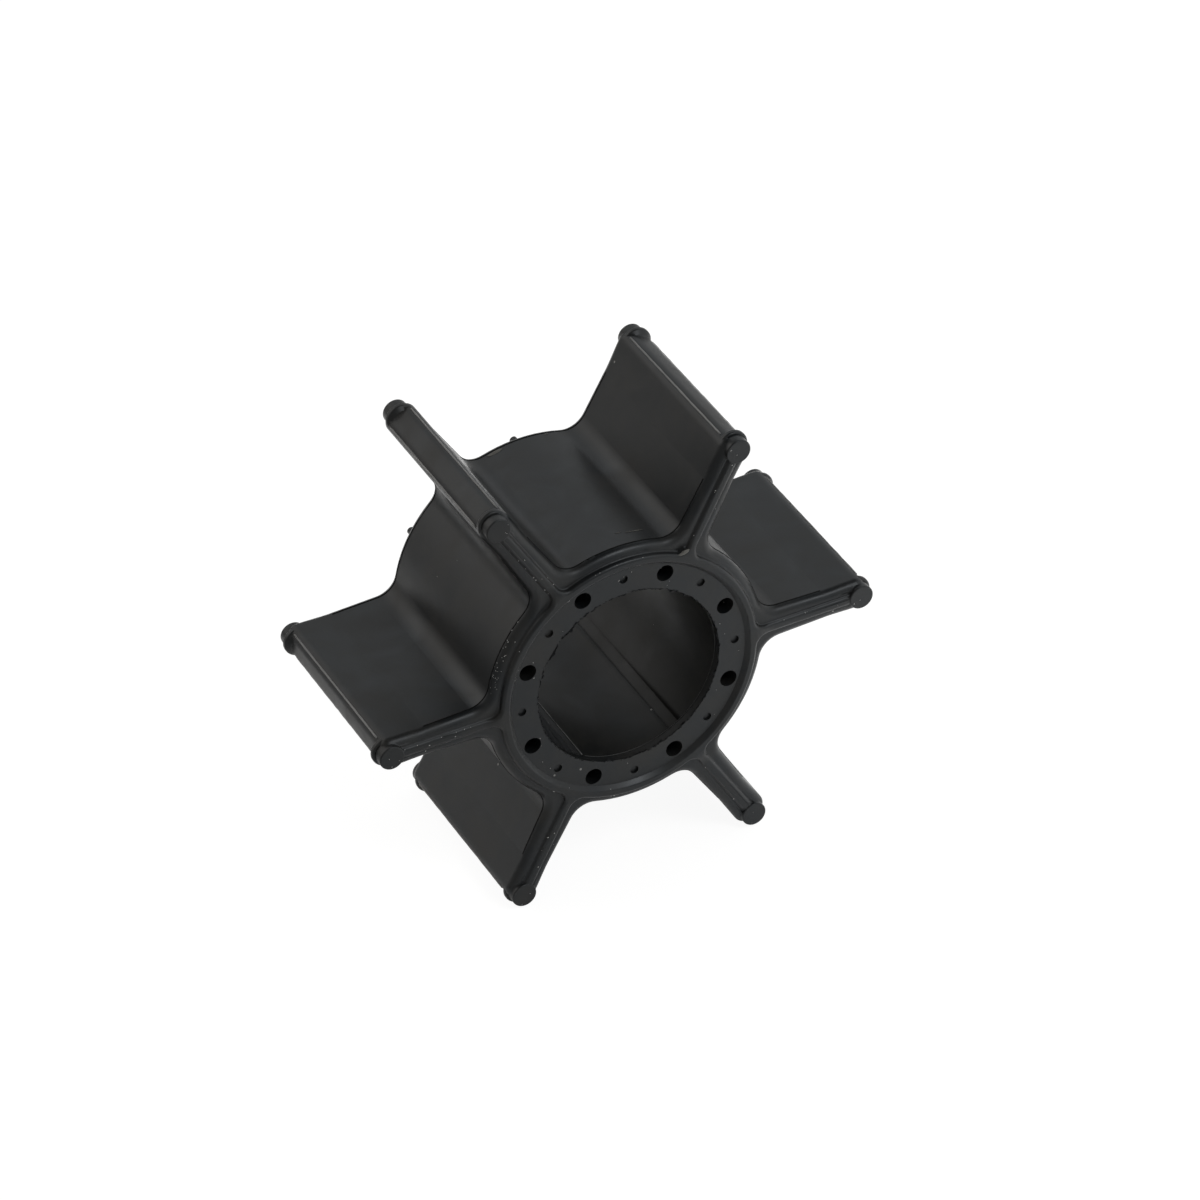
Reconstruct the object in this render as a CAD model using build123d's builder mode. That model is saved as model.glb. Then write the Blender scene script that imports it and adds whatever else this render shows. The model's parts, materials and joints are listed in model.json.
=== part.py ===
from build123d import *
import math
import os

os.makedirs("parts", exist_ok=True)

# Six-vane flexible pump impeller: a rubber wheel moulded in one piece round a rigid keyed bush.
# The axis runs along Y, the visible end looks toward -Y, +Z is up, and the wheel stands on two vanes.
# Every angle is counted from +X toward +Z. All sizes are in millimetres.

# Layout of the wheel
vane_count = 6
body_half_width = 12.5  # half of the full-thickness body along the axis
tip_radius = 29.5  # crown of the bead at the end of a vane
nub_inset = 1.0  # axis of an end nub, in from the tip

# Hub
hub_radius = 16.7
root_fillet = 2.5  # between the hub and the faces of a vane
edge_round = 0.95  # rounding of the long front and back edges of the body

# Vane section along its length
root_half = 2.23  # half thickness of the tapering vane where it would meet the bore
waist_half = 1.78  # half thickness just inside the bead
bead_half = 1.87  # half thickness of the bead
bead_length = 1.4  # from the tip in to where the bead is thickest
bead_flare = 4.0  # from there in to the waist
bead_crown = 0.12  # rise of the outer face of the bead over its corners
bead_corner = 1.2

# Collar round each end of a bead, on the axis of its nub
collar_radius = 1.76
collar_foot_radius = 0.95  # where the collar leaves the bead, inside its outer face
collar_length = 1.3  # along the axis, from its foot to the foot of the nub
collar_crest_length = 0.6
collar_round = 0.25

# Stepped end: rim, rib and nub
rim_setback = 1.25  # outer face of the rim, in from the hub
rim_width = 0.85
rim_height = 0.65  # above the end of the full-thickness body
crest_round = 0.4  # along the tops of the rim and the ribs
brink_round = 0.25  # between the rim and the wall down to the ring
rib_height = 0.35
rib_top_half = 0.5
ramp_length = 2.2  # along a vane, from the rim down to the rib
step_taper = 12.0  # draft of the rim and rib flanks in degrees
step_plan_fillet = 1.2
step_base_fillet = 0.2
nub_radius = 1.45
nub_height = 1.25  # from the top of the collar
nub_rise = 0.45  # above the end of the full-thickness body
nub_round = 0.15

# Recessed ring face with its pin holes
ring_height = 0.15  # above the end of the full-thickness body
ring_wall_run = 0.45  # slope of the wall from the ring up to the rim
pin_count = 8
pin_setback = 1.68  # pin circle, in from the rim
pin_radius = 1.0
pin_depth = 4.0
dimple_radius = 0.5
dimple_depth = 0.3

# Locating nibs on the back rim, one between each two vanes
nib_radius = 0.45
nib_height = 0.9  # above the rim

# Raised pip that a vent leaves on the front end, beside the root of one rib
pip_angle = 63.5
pip_turn = 11.0  # lie of its long side
pip_length = 1.7
pip_width = 0.75
pip_height = 0.5
pip_taper = 20.0

# Rigid bush
bore_radius = 11.0
bush_wall = 0.6
bush_half_length = 11.65
key_width = 4.76  # takes a 3/16 inch key
key_angle = -135.0
key_depth = 1.9  # floor of the keyway, out from the bore
key_wall = 0.8
key_mouth_chamfer = 0.4
seam_angle = -60.0
seam_width = 1.3
seam_depth = 0.3

# Values that follow from the sizes above
vane_pitch = 360.0 / vane_count
vane_angles = [k * vane_pitch for k in range(vane_count)]
nub_circle_radius = tip_radius - nub_inset
bead_radius = tip_radius - bead_length
waist_radius = bead_radius - bead_flare
rim_face = body_half_width + rim_height
rib_face = body_half_width + rib_height
nub_face = body_half_width + nub_rise
ring_face = body_half_width + ring_height
nub_foot = nub_face - nub_height
flank_slope = math.tan(math.radians(step_taper))
rim_outer_radius = hub_radius - rim_setback
rim_inner_radius = rim_outer_radius - rim_width
rim_base_radius = rim_outer_radius + rim_height * flank_slope
ring_radius = rim_inner_radius - ring_wall_run
ring_wall_slope = math.degrees(math.atan(ring_wall_run / (rim_height - ring_height)))
rib_root_half = rib_top_half + rib_height * flank_slope
ramp_end_radius = rim_outer_radius + ramp_length
pin_circle_radius = rim_inner_radius - pin_setback
pip_circle_radius = rim_base_radius + pip_width / 10
bush_radius = bore_radius + bush_wall
key_floor_radius = bore_radius + key_depth
boss_half_width = key_width / 2 + key_wall
boss_radius = key_floor_radius + key_wall


def near(value, target, slack=0.02):
    """True where a measured length is the wanted one."""
    return abs(value - target) < slack


def off_axis(shape):
    """Distance of the middle of a shape from the axis of the wheel."""
    c = shape.center()
    return math.hypot(c.X, c.Z)


def off_ray(shape):
    """Distance of the middle of a shape from the centre line of the nearest vane."""
    c = shape.center()
    angle = math.degrees(math.atan2(c.Z, c.X)) % vane_pitch
    turn = min(angle, vane_pitch - angle)
    return off_axis(shape) * math.sin(math.radians(turn))


def turned(shape, angle):
    """Distance of the middle of a shape from the centre line at an angle."""
    c = shape.center()
    a = math.radians(angle)
    return c.Z * math.cos(a) - c.X * math.sin(a)


with BuildPart() as rubber_impeller:
    # Hub and vanes, full thickness
    with BuildSketch(Plane.XZ) as planform:
        Circle(hub_radius)
        with BuildSketch(mode=Mode.PRIVATE) as vane:
            with BuildLine():
                Line((bore_radius, root_half), (waist_radius, waist_half))
                Spline(
                    (waist_radius, waist_half),
                    (bead_radius, bead_half),
                    tangents=((waist_radius - bore_radius, waist_half - root_half), (1, 0)),
                )
                Line((bead_radius, bead_half), (tip_radius - bead_crown, bead_half))
                ThreePointArc(
                    (tip_radius - bead_crown, bead_half),
                    (tip_radius, 0),
                    (tip_radius - bead_crown, -bead_half),
                )
                Line((tip_radius - bead_crown, -bead_half), (bead_radius, -bead_half))
                Spline(
                    (bead_radius, -bead_half),
                    (waist_radius, -waist_half),
                    tangents=((-1, 0), (bore_radius - waist_radius, waist_half - root_half)),
                )
                Line((waist_radius, -waist_half), (bore_radius, -root_half))
                Line((bore_radius, -root_half), (bore_radius, root_half))
            make_face()
            tips = vane.vertices().filter_by(lambda v: near(v.X, tip_radius - bead_crown))
            fillet(tips, bead_corner)
        with PolarLocations(0, vane_count):
            add(vane.sketch)
        roots = planform.vertices().filter_by(lambda v: near(math.hypot(v.X, v.Y), hub_radius))
        fillet(roots, root_fillet)
    extrude(amount=body_half_width, both=True)
    long_edges = rubber_impeller.edges().filter_by(lambda e: near(abs(e.center().Y), body_half_width))
    fillet(long_edges, edge_round)

    # Rim and ribs standing on each end, with draft
    for side in (-1, 1):
        end_plane = Plane(origin=(0, side * body_half_width, 0), x_dir=(1, 0, 0), z_dir=(0, side, 0))
        with BuildSketch(end_plane) as step_plan:
            Circle(rim_base_radius)
            with PolarLocations(0, vane_count):
                with Locations((nub_circle_radius / 2, 0)):
                    Rectangle(nub_circle_radius, 2 * rib_root_half)
            corners = step_plan.vertices().filter_by(lambda v: near(math.hypot(v.X, v.Y), rim_base_radius))
            fillet(corners, step_plan_fillet)
        extrude(amount=rim_height, taper=step_taper)
    feet = rubber_impeller.edges().filter_by(lambda e: near(abs(e.center().Y), body_half_width))
    straight = feet.filter_by(GeomType.LINE).filter_by(lambda e: near(off_ray(e), rib_root_half))
    curved = feet.filter_by(GeomType.CIRCLE).filter_by(
        lambda e: near(e.radius, step_plan_fillet) or near(e.radius, rim_base_radius)
    )
    fillet(straight + curved, step_base_fillet)

    # A ramp from the rim down to each rib
    for angle in vane_angles:
        c = math.cos(math.radians(angle))
        s = math.sin(math.radians(angle))
        for side in (-1, 1):
            with BuildSketch(Plane(origin=(0, 0, 0), x_dir=(c, 0, s), z_dir=(-s, 0, c))):
                with BuildLine():
                    Spline(
                        (rim_outer_radius, side * rim_face),
                        (ramp_end_radius, side * rib_face),
                        tangents=((1, 0), (1, 0)),
                    )
                    Polyline(
                        (ramp_end_radius, side * rib_face),
                        (tip_radius, side * rib_face),
                        (tip_radius, side * (rim_face + 1)),
                        (rim_outer_radius, side * (rim_face + 1)),
                        (rim_outer_radius, side * rim_face),
                    )
                make_face()
            extrude(amount=rib_root_half + 2 * step_plan_fillet, both=True, mode=Mode.SUBTRACT)
    crests = rubber_impeller.edges().filter_by(lambda e: abs(e.center().Y) > rib_face - 0.01)
    crests = crests.filter_by(lambda e: rim_inner_radius < off_axis(e) < nub_circle_radius - nub_radius / 2)
    fillet(crests, crest_round)

    # The collar and the nub at the end of each bead
    for angle in vane_angles:
        c = math.cos(math.radians(angle))
        s = math.sin(math.radians(angle))
        for side in (-1, 1):
            nub_axis = (nub_circle_radius * c, 0, nub_circle_radius * s)
            with BuildSketch(Plane(origin=nub_axis, x_dir=(c, 0, s), z_dir=(-s, 0, c))) as nub:
                with BuildLine():
                    Polyline(
                        (0, side * (nub_foot - collar_length)),
                        (collar_foot_radius, side * (nub_foot - collar_length)),
                        (collar_radius, side * (nub_foot - collar_crest_length)),
                        (collar_radius, side * nub_foot),
                        (nub_radius, side * nub_foot),
                        (nub_radius, side * nub_face),
                        (0, side * nub_face),
                        close=True,
                    )
                make_face()
                fillet(nub.vertices().filter_by(lambda v: near(v.X, collar_radius)), collar_round)
                rims = nub.vertices().filter_by(lambda v: near(v.X, nub_radius) and near(abs(v.Y), nub_face))
                fillet(rims, nub_round)
            revolve(axis=Axis(nub_axis, (0, 1, 0)))

    # Recessed ring faces, their pin holes and dimples
    for side in (-1, 1):
        ring_plane = Plane(origin=(0, side * ring_face, 0), x_dir=(1, 0, 0), z_dir=(0, side, 0))
        with BuildSketch(ring_plane):
            Circle(ring_radius)
        extrude(amount=rim_height - ring_height, taper=-ring_wall_slope, mode=Mode.SUBTRACT)
        brink = rubber_impeller.edges().filter_by(GeomType.CIRCLE).filter_by(
            lambda e: near(e.radius, rim_inner_radius) and near(e.center().Y, side * rim_face)
        )
        fillet(brink, brink_round)
        with BuildSketch(ring_plane):
            with PolarLocations(pin_circle_radius, pin_count, start_angle=180.0 / pin_count):
                Circle(pin_radius)
        extrude(amount=-pin_depth, mode=Mode.SUBTRACT)
        with BuildSketch(ring_plane):
            with PolarLocations(pin_circle_radius, pin_count):
                Circle(dimple_radius)
        extrude(amount=-dimple_depth, mode=Mode.SUBTRACT)

    # Bore through the rubber and the room taken by the bush
    with BuildSketch(Plane.XZ):
        Circle(bore_radius)
    extrude(amount=2 * rim_face, both=True, mode=Mode.SUBTRACT)
    with BuildSketch(Plane.XZ):
        Circle(bush_radius)
        with Locations(Rot(0, 0, key_angle)):
            with Locations((boss_radius / 2, 0)):
                Rectangle(boss_radius, 2 * boss_half_width)
    extrude(amount=bush_half_length, both=True, mode=Mode.SUBTRACT)

    # The keyway leaves through the lip at the back
    with BuildSketch(Plane(origin=(0, bush_half_length, 0), x_dir=(1, 0, 0), z_dir=(0, 1, 0))):
        with Locations(Rot(0, 0, -key_angle)):
            with Locations((key_floor_radius / 2, 0)):
                Rectangle(key_floor_radius, key_width)
    extrude(amount=rim_face - bush_half_length, mode=Mode.SUBTRACT)

    # Nibs on the back rim
    with BuildSketch(Plane(origin=(0, body_half_width, 0), x_dir=(1, 0, 0), z_dir=(0, 1, 0))):
        with PolarLocations((rim_inner_radius + rim_outer_radius) / 2, vane_count, start_angle=vane_pitch / 2):
            Circle(nib_radius)
    extrude(amount=rim_height + nib_height)

    # Vent pip on the outer flank of the front rim
    with BuildSketch(Plane(origin=(0, -body_half_width, 0), x_dir=(1, 0, 0), z_dir=(0, -1, 0))):
        with Locations(Rot(0, 0, pip_angle)):
            with Locations(Location((pip_circle_radius, 0), pip_turn - pip_angle)):
                SlotOverall(pip_length, pip_width)
    extrude(amount=pip_height, taper=pip_taper)

with BuildPart() as hub_bush:
    with BuildSketch(Plane.XZ):
        Circle(bush_radius)
        with Locations(Rot(0, 0, key_angle)):
            with Locations((boss_radius / 2, 0)):
                Rectangle(boss_radius, 2 * boss_half_width)
    extrude(amount=bush_half_length, both=True)
    with BuildSketch(Plane.XZ):
        Circle(bore_radius)
        with Locations(Rot(0, 0, key_angle)):
            with Locations((key_floor_radius / 2, 0)):
                Rectangle(key_floor_radius, key_width)
        with Locations(Rot(0, 0, seam_angle)):
            with Locations(((bore_radius + seam_depth) / 2, 0)):
                Rectangle(bore_radius + seam_depth, seam_width)
    extrude(amount=bush_half_length, both=True, mode=Mode.SUBTRACT)
    mouths = hub_bush.edges().filter_by(Axis.Y).filter_by(
        lambda e: near(off_axis(e), bore_radius) and near(abs(turned(e, key_angle)), key_width / 2)
    )
    chamfer(mouths, key_mouth_chamfer)

rubber_impeller.part.label = "rubber_impeller"
hub_bush.part.label = "hub_bush"
export_step(rubber_impeller.part, "parts/rubber_impeller.step")
export_step(hub_bush.part, "parts/hub_bush.step")
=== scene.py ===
"""Dresses a moulded rubber pump impeller and its keyed bush, and sets them in a white studio.

The wheel turns about Y. Its visible end looks toward -Y, +Z is up, and every angle is counted
from +X toward +Z. Lengths are in metres unless a name ends in _mm.
"""

import json
import logging
import math
import random
from collections.abc import Callable
from dataclasses import dataclass, field
from enum import Enum

import bmesh
import bpy
from bpy.types import Material, Node, NodeSocket, NodeTree, Object
from mathutils import Matrix, Vector

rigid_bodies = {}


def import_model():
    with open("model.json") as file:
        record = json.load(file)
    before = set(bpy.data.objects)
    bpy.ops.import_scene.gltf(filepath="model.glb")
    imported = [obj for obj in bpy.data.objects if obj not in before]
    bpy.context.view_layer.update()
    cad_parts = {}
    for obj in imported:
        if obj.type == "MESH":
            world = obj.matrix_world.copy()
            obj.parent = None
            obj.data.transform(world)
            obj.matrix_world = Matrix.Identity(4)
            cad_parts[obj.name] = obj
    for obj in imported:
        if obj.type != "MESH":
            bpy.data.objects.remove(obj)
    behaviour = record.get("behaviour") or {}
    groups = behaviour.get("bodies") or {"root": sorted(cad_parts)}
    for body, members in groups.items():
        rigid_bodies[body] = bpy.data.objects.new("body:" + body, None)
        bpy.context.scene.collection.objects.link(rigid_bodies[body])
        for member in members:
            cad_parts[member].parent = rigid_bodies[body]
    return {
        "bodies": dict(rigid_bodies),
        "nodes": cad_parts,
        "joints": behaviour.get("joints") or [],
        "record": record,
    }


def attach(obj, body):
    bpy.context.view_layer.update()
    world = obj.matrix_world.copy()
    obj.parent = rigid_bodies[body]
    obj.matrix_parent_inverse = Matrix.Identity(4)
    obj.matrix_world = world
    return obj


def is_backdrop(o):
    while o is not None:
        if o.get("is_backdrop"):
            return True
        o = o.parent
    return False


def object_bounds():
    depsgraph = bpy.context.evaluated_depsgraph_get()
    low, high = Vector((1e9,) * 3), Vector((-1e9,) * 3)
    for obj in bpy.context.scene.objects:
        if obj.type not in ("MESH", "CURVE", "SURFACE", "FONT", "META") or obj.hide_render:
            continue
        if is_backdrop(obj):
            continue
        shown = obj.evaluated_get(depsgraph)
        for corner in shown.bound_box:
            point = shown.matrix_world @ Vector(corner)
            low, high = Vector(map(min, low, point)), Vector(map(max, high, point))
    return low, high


LOG = logging.getLogger("impeller_scene")
Pair = tuple[float, float]
Triple = tuple[float, float, float]
Colour = tuple[float, float, float, float]
MM = 0.001
WHITE = (1.0, 1.0, 1.0, 1.0)
KEY_ANGLE = -135.0
WELD_REACH = 0.000002
SLIGHT_UNEVENNESS = 0.00002
CUT_END_CORNERS = 24
SMUDGE_SCALE = 160.0
SMUDGE_TONE_SPAN = (0.42, 0.78)
SMUDGE_GLOSS_SPAN = (0.3, 0.75)
DUST_SCALE = 620.0
DUST_RADIUS = 0.085
DUST_TONE = (0.22, 0.22, 0.21, 1.0)


class End(Enum):
    """The two ends of the wheel, by the sign of Y."""

    FRONT = -1
    BACK = 1


def polar(radius_mm: float, angle_deg: float, y_mm: float) -> Vector:
    """Point of the wheel given by radius, angle and place along the axis.

    Args:
        radius_mm: Distance from the axis.
        angle_deg: Angle from +X toward +Z.
        y_mm: Place along the axis.

    Returns:
        The point in metres.
    """
    turn = math.radians(angle_deg)
    return Vector((radius_mm * math.cos(turn), y_mm, radius_mm * math.sin(turn))) * MM


def toward(angle_deg: float) -> Vector:
    """Unit vector across the axis, at an angle from +X toward +Z."""
    turn = math.radians(angle_deg)
    return Vector((math.cos(turn), 0.0, math.sin(turn)))


def angle_of(place: Vector) -> float:
    """Angle of a place from +X toward +Z, in degrees from 0 to 360."""
    return math.degrees(math.atan2(place.z, place.x)) % 360.0


@dataclass
class NodeSheet:
    """Node tree of a material or world that is filled step by step.

    Args:
        tree: The node tree.
    """

    tree: NodeTree

    def link(self, source: NodeSocket, target: NodeSocket) -> None:
        """Links an output to an input."""
        self.tree.links.new(source, target)

    def add(self, kind: str, **settings: object) -> Node:
        """Adds a node, sets its properties and feeds its inputs.

        Args:
            kind: Node type.
            **settings: Properties by name; a dict named inputs gives each socket an output or a value.

        Returns:
            The new node.
        """
        node = self.tree.nodes.new(kind)
        inputs = settings.pop("inputs", {})
        for key, value in settings.items():
            setattr(node, key, value)
        for key, value in inputs.items():
            if isinstance(value, NodeSocket):
                self.link(value, node.inputs[key])
            else:
                node.inputs[key].default_value = value
        return node

    def noise(self, place: NodeSocket, **inputs: float) -> NodeSocket:
        """Adds a noise texture at a place, with its other inputs by name."""
        return self.add("ShaderNodeTexNoise", inputs={"Vector": place, **inputs}).outputs["Fac"]

    def product(self, first: NodeSocket, second: NodeSocket | float) -> NodeSocket:
        """Multiplies an output by another output or by a number."""
        return self.add("ShaderNodeMath", operation="MULTIPLY", inputs={0: first, 1: second}).outputs["Value"]

    def below(self, value: NodeSocket, limit: float) -> NodeSocket:
        """Gives 1 where a value is below a limit and 0 elsewhere."""
        return self.add("ShaderNodeMath", operation="LESS_THAN", inputs={0: value, 1: limit}).outputs["Value"]

    def reach(self, place: NodeSocket, way: Triple) -> NodeSocket:
        """Measures how far a place or direction reaches along a way."""
        node = self.add("ShaderNodeVectorMath", operation="DOT_PRODUCT", inputs={0: place, 1: way})
        return node.outputs["Value"]

    def map_range(
        self, value: NodeSocket, span: Pair, levels: Pair = (0.0, 1.0), interpolation: str = "SMOOTHSTEP"
    ) -> NodeSocket:
        """Maps a value from one range to another and holds it at the ends.

        Args:
            value: Output that is mapped.
            span: Values at which the range starts and ends.
            levels: Results at the start and at the end.
            interpolation: How the result runs between them.

        Returns:
            The output with the result.
        """
        ends = {"From Min": span[0], "From Max": span[1], "To Min": levels[0], "To Max": levels[1]}
        inputs = {"Value": value, **ends}
        node = self.add("ShaderNodeMapRange", interpolation_type=interpolation, inputs=inputs)
        return node.outputs["Result"]

    def mix_colours(
        self, share: NodeSocket, first: NodeSocket | Colour, second: NodeSocket | Colour
    ) -> NodeSocket:
        """Mixes two colours, the share being that of the second one."""
        inputs = {"Factor": share, "A": first, "B": second}
        return self.add("ShaderNodeMix", data_type="RGBA", inputs=inputs).outputs["Result"]

    def mix_shaders(self, share: NodeSocket, first: NodeSocket, second: NodeSocket) -> NodeSocket:
        """Mixes two shaders, the share being that of the second one."""
        return self.add("ShaderNodeMixShader", inputs={"Fac": share, 1: first, 2: second}).outputs["Shader"]

    def add_shaders(self, first: NodeSocket, second: NodeSocket) -> NodeSocket:
        """Adds two shaders."""
        return self.add("ShaderNodeAddShader", inputs={0: first, 1: second}).outputs["Shader"]

    def bump(self, height: NodeSocket, depth_mm: float) -> Node:
        """Adds a bump of full strength with a height and a depth."""
        inputs = {"Height": height, "Strength": 1.0, "Distance": depth_mm * MM}
        return self.add("ShaderNodeBump", inputs=inputs)


def new_material(name: str) -> tuple[Material, NodeSheet, Node]:
    """Starts a node material.

    Args:
        name: Name of the material.

    Returns:
        The material, its nodes and its Principled shader.
    """
    material = bpy.data.materials.new(name)
    material.use_nodes = True
    tree = material.node_tree
    return material, NodeSheet(tree), tree.nodes["Principled BSDF"]


@dataclass(frozen=True)
class MouldedFinish:
    """Dark moulded surface with satin gloss, fine grain, soft waves, dust and dull smudges.

    Args:
        name: Material name.
        tone: Linear colour of the clean surface.
        smudge_tone: Linear colour where the surface is dull.
        gloss: Roughness of the clean surface.
        dull: Roughness where it is smudged.
        grain_mm: Size of the fine grain.
        grain_depth_mm: Height of the fine grain.
        wave_mm: Size of the soft unevenness.
        wave_depth_mm: Height of the soft unevenness.
        dust_share: Share of the dust cells that hold a speck.
        sheen: Specular level of the surface.
        sheen_tint: Colour of the reflections.
    """

    name: str
    tone: Triple
    smudge_tone: Triple
    gloss: float
    dull: float
    grain_mm: float = 0.09
    grain_depth_mm: float = 0.004
    wave_mm: float = 5.0
    wave_depth_mm: float = 0.05
    dust_share: float = 0.05
    sheen: float = 0.36
    sheen_tint: Triple = (0.955, 1.0, 1.045)

    def build(self) -> Material:
        """Builds the material from its numbers.

        Returns:
            The finished material.
        """
        material, sheet, shader = new_material(self.name)
        place = sheet.add("ShaderNodeTexCoord").outputs["Object"]
        smudge = sheet.noise(place, Scale=SMUDGE_SCALE, Detail=5.0, Roughness=0.62, Distortion=0.6)
        gloss = sheet.map_range(smudge, SMUDGE_GLOSS_SPAN, (self.gloss, self.dull), "LINEAR")
        sheet.link(self.colour(sheet, place, smudge), shader.inputs["Base Color"])
        sheet.link(gloss, shader.inputs["Roughness"])
        sheet.link(self.relief(sheet, place), shader.inputs["Normal"])
        shader.inputs["Specular IOR Level"].default_value = self.sheen
        shader.inputs["Specular Tint"].default_value = (*self.sheen_tint, 1.0)
        return material

    def colour(self, sheet: NodeSheet, place: NodeSocket, smudge: NodeSocket) -> NodeSocket:
        """Mixes the clean and the smudged tone and strews dust on them.

        Args:
            sheet: Nodes of the material.
            place: Output with the place on the object.
            smudge: Output with the smudge noise.

        Returns:
            The output with the colour.
        """
        smudged = sheet.map_range(smudge, SMUDGE_TONE_SPAN, interpolation="LINEAR")
        tone = sheet.mix_colours(smudged, (*self.tone, 1.0), (*self.smudge_tone, 1.0))
        grid = {"Vector": place, "Scale": DUST_SCALE, "Randomness": 1.0}
        cells = sheet.add("ShaderNodeTexVoronoi", feature="F1", inputs=grid)
        chance = sheet.add("ShaderNodeSeparateColor", inputs={"Color": cells.outputs["Color"]})
        speck = sheet.below(cells.outputs["Distance"], DUST_RADIUS)
        chosen = sheet.below(chance.outputs["Red"], self.dust_share)
        return sheet.mix_colours(sheet.product(speck, chosen), tone, DUST_TONE)

    def relief(self, sheet: NodeSheet, place: NodeSocket) -> NodeSocket:
        """Lays the fine grain over the soft unevenness.

        Args:
            sheet: Nodes of the material.
            place: Output with the place on the object.

        Returns:
            The output with the normal.
        """
        wave_height = sheet.noise(place, Scale=1.0 / (self.wave_mm * MM), Detail=1.0, Roughness=0.4)
        grain_height = sheet.noise(place, Scale=1.0 / (self.grain_mm * MM), Detail=2.0, Roughness=0.5)
        wave = sheet.bump(wave_height, self.wave_depth_mm)
        grain = sheet.bump(grain_height, self.grain_depth_mm)
        sheet.link(wave.outputs["Normal"], grain.inputs["Normal"])
        return grain.outputs["Normal"]


RUBBER = MouldedFinish(
    "moulded_rubber",
    tone=(0.0062, 0.0074, 0.0082),
    smudge_tone=(0.0185, 0.0172, 0.0148),
    gloss=0.3,
    dull=0.5,
)
BUSH_PLASTIC = MouldedFinish(
    "bush_plastic",
    tone=(0.007, 0.0075, 0.0075),
    smudge_tone=(0.02, 0.019, 0.016),
    gloss=0.3,
    dull=0.5,
    grain_depth_mm=0.002,
    dust_share=0.02,
    sheen=0.2,
)
# Darker, duller rubber: its roughness is the torn lip's own, its darker colour is painted shade on the lip
# walls inside the bore.
TORN_PAINTED_SHADE = MouldedFinish(
    "torn_painted_shade",
    tone=(0.005, 0.006, 0.0065),
    smudge_tone=(0.012, 0.0125, 0.0125),
    gloss=0.5,
    dull=0.6,
    sheen=0.14,
)
# Lighter plastic finish: painted highlight along the front and back edges of the bush.
EDGE_PAINTED_HIGHLIGHT = MouldedFinish(
    "edge_painted_highlight",
    tone=(0.03, 0.031, 0.03),
    smudge_tone=(0.04, 0.04, 0.038),
    gloss=0.3,
    dull=0.4,
)
CRUMB_RUBBER = MouldedFinish(
    "crumb_rubber",
    tone=(0.34, 0.34, 0.33),
    smudge_tone=(0.6, 0.6, 0.58),
    gloss=0.5,
    dull=0.6,
)
# Near-black finish: painted shade of the thin crease round the ends of the vanes and hub.
CREASE_PAINTED_SHADE = MouldedFinish(
    "crease_painted_shade",
    tone=(0.003, 0.003, 0.003),
    smudge_tone=(0.006, 0.006, 0.006),
    gloss=0.5,
    dull=0.6,
    sheen=0.1,
)
# Light grey finish: painted highlights along the corners of the tip beads and the mouth corners of the
# keyway.
PAINTED_HIGHLIGHT_RUBBER = MouldedFinish(
    "painted_highlight_rubber",
    tone=(0.16, 0.16, 0.16),
    smudge_tone=(0.24, 0.24, 0.235),
    gloss=0.35,
    dull=0.45,
)
# Pale grey finish: painted light on the one wall of the keyway that it covers.
KEYWAY_PAINTED_LIGHT = MouldedFinish(
    "keyway_painted_light",
    tone=(0.09, 0.095, 0.1),
    smudge_tone=(0.13, 0.13, 0.13),
    gloss=0.45,
    dull=0.55,
)
FLAKE_RUBBER = MouldedFinish(
    "flake_rubber",
    tone=(0.09, 0.088, 0.08),
    smudge_tone=(0.15, 0.143, 0.125),
    gloss=0.4,
    dull=0.5,
)


@dataclass
class DressedNode:
    """A node of the fixed frame that keeps its shape and gets a finish and clean shading.

    Args:
        node: Name of the node.
        finish: Its finish.
    """

    node: str
    finish: MouldedFinish

    def dress(self, frame: dict) -> Object:
        """Puts the finish on and welds the loose triangles for shading only.

        Args:
            frame: The loaded frame.

        Returns:
            The dressed node.
        """
        piece = frame["nodes"][self.node]
        piece.data.materials.clear()
        piece.data.materials.append(self.finish.build())
        weld = piece.modifiers.new("weld", "WELD")
        weld.merge_threshold = WELD_REACH
        normals = piece.modifiers.new("face_normals", "WEIGHTED_NORMAL")
        normals.keep_sharp = True
        return piece


def select_vertices(piece: Object, wanted: Callable[[Vector], bool]) -> None:
    """Selects the vertices of an edit-mode mesh by their place.

    Args:
        piece: Object in edit mode.
        wanted: Test on the vertex place in metres.
    """
    mesh = bmesh.from_edit_mesh(piece.data)
    mesh.select_mode = {"VERT"}
    for vertex in mesh.verts:
        vertex.select = wanted(vertex.co)
    mesh.select_flush(True)
    mesh.select_flush_mode()
    bmesh.update_edit_mesh(piece.data)


def select_long_edges(piece: Object, least: float) -> None:
    """Selects the edges of an edit-mode mesh that reach far along the axis.

    Args:
        piece: Object in edit mode.
        least: Shortest reach along the axis in metres.
    """
    bpy.ops.mesh.select_all(action="DESELECT")
    mesh = bmesh.from_edit_mesh(piece.data)
    for edge in mesh.edges:
        edge.select = abs(edge.verts[0].co.y - edge.verts[1].co.y) > least
    bmesh.update_edit_mesh(piece.data)


def open_gap(piece: Object, angle: float, half_mm: float) -> None:
    """Takes a slice out of a ring in edit mode and closes the two cut ends.

    Args:
        piece: Object in edit mode.
        angle: Middle angle of the slice.
        half_mm: Half of the width of the slice.
    """
    out = toward(angle)
    across = toward(angle + 90)
    half = half_mm * MM
    select_vertices(piece, lambda place: place.dot(out) > 0.0 and abs(place.dot(across)) < half)
    bpy.ops.mesh.delete(type="VERT")
    bpy.ops.mesh.select_all(action="SELECT")
    bpy.ops.mesh.fill_holes(sides=CUT_END_CORNERS)
    bpy.ops.mesh.normals_make_consistent(inside=False)


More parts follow.
